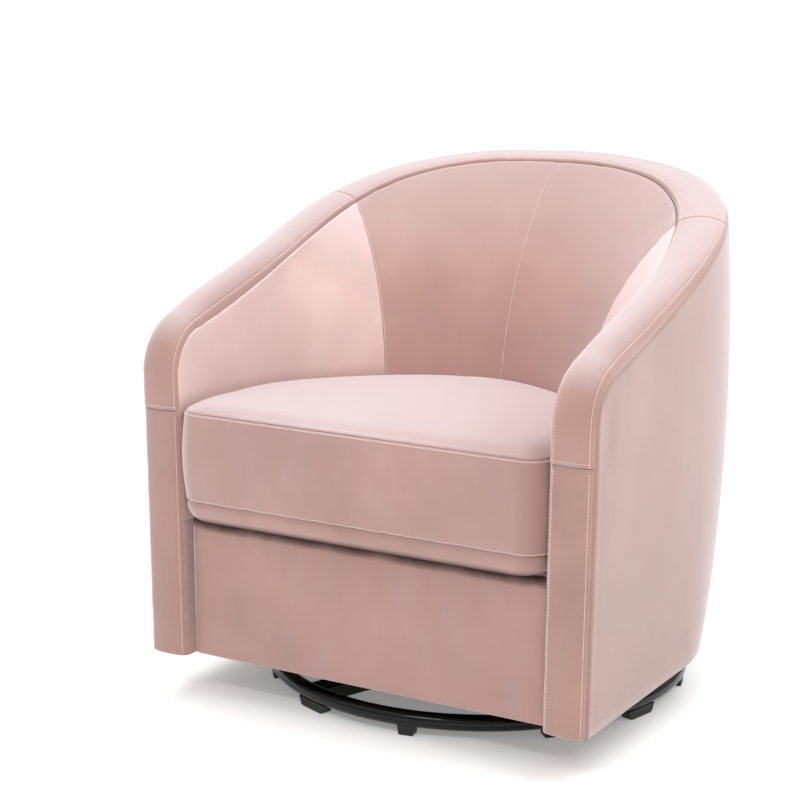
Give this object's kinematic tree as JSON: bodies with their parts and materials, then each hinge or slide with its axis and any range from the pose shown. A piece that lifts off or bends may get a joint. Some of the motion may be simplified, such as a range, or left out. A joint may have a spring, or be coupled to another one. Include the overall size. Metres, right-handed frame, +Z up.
{
  "type": "glider nursery chair",
  "caption": "Barrel-shaped upholstered chair with a loose box cushion that swivels on a steel ring base and glides fore and aft on swing links",
  "frame": {"origin": "On the floor, at the middle of the object's box", "axes": "+Z up, the sitter faces -Y, +X is on the right seen from the front; left and right in node names are as seen from the front"},
  "size_m": [0.7552, 0.715, 0.79],
  "materials": {
    "base_steel": "gloss black powder coat",
    "foot_plastic": "moulded black",
    "zinc_steel": "zinc plated",
    "bumper_rubber": "matte black",
    "frame_steel": "satin black paint",
    "timber": "plain sawn, unfinished",
    "lining": "black non-woven lining",
    "shell_velvet": "blush velvet with a light nap",
    "cushion_velvet": "blush velvet with a light nap"
  },
  "bodies": {
    "base": {"base_ring": "base_steel", "base_cross": "base_steel", "spoke_foot_1": "foot_plastic", "spoke_foot_2": "foot_plastic", "spoke_foot_3": "foot_plastic", "spoke_foot_4": "foot_plastic", "ring_foot_1": "foot_plastic", "ring_foot_2": "foot_plastic", "ring_foot_3": "foot_plastic", "ring_foot_4": "foot_plastic", "ring_foot_5": "foot_plastic", "ring_foot_6": "foot_plastic", "ring_foot_7": "foot_plastic", "ring_foot_8": "foot_plastic", "swivel_lower_race": "zinc_steel", "swivel_ball_ring": "zinc_steel", "swivel_pivot": "zinc_steel"},
    "turntable": {"swivel_upper_race": "zinc_steel", "glide_carrier": "frame_steel", "upper_rod_front": "zinc_steel", "upper_rod_rear": "zinc_steel", "glide_bumper_front": "bumper_rubber", "glide_bumper_rear": "bumper_rubber"},
    "front_links": {"link_front_left": "frame_steel", "link_front_right": "frame_steel"},
    "rear_links": {"link_rear_left": "frame_steel", "link_rear_right": "frame_steel"},
    "chair": {"lower_pin_front_left": "zinc_steel", "lower_pin_front_right": "zinc_steel", "lower_pin_rear_left": "zinc_steel", "lower_pin_rear_right": "zinc_steel", "seat_subframe": "frame_steel", "frame_front_rail": "timber", "frame_cross_rail_front": "timber", "frame_cross_rail_rear": "timber", "frame_top_rail": "timber", "frame_base_board": "timber", "frame_arm_post_left": "timber", "frame_arm_post_right": "timber", "frame_side_rail_left": "timber", "frame_side_rail_right": "timber", "frame_back_rib_left": "timber", "frame_back_rib_right": "timber", "frame_corner_rib_left": "timber", "frame_corner_rib_right": "timber", "seat_spring_1": "zinc_steel", "seat_spring_2": "zinc_steel", "seat_spring_3": "zinc_steel", "seat_spring_4": "zinc_steel", "seat_deck": "lining", "dust_cover": "lining", "outer_cover": "shell_velvet", "inside_back": "shell_velvet", "inside_arm_left": "shell_velvet", "inside_arm_right": "shell_velvet", "rim_border": "shell_velvet", "arm_front_left": "shell_velvet", "arm_front_right": "shell_velvet", "apron": "shell_velvet"},
    "cushion": {"seat_cushion": "cushion_velvet"}
  },
  "joints": [
    {"name": "swivel", "type": "hinge", "parent": "base", "child": "turntable", "pos_m": [0, 0.015, 0.05], "axis": [0, 0, 1], "continuous": true},
    {"name": "glide", "type": "hinge", "parent": "turntable", "child": "front_links", "pos_m": [0, -0.11, 0.195], "axis": [1, 0, 0], "range_deg": [-22, 22]},
    {"name": "seat_level", "type": "hinge", "parent": "front_links", "child": "chair", "pos_m": [0, -0.11, 0.095], "axis": [1, 0, 0], "range_deg": [-22, 22]},
    {"name": "rear_link_swing", "type": "hinge", "parent": "turntable", "child": "rear_links", "pos_m": [0, 0.14, 0.195], "axis": [1, 0, 0], "range_deg": [-22, 22]},
    {"name": "cushion_lift", "type": "slide", "parent": "chair", "child": "cushion", "axis": [0, 0, 1], "range_m": [0, 0.4]}
  ],
  "couplings": [
    {"joint": "seat_level", "follows": "glide", "ratio": -1},
    {"joint": "rear_link_swing", "follows": "glide", "ratio": 1}
  ]
}
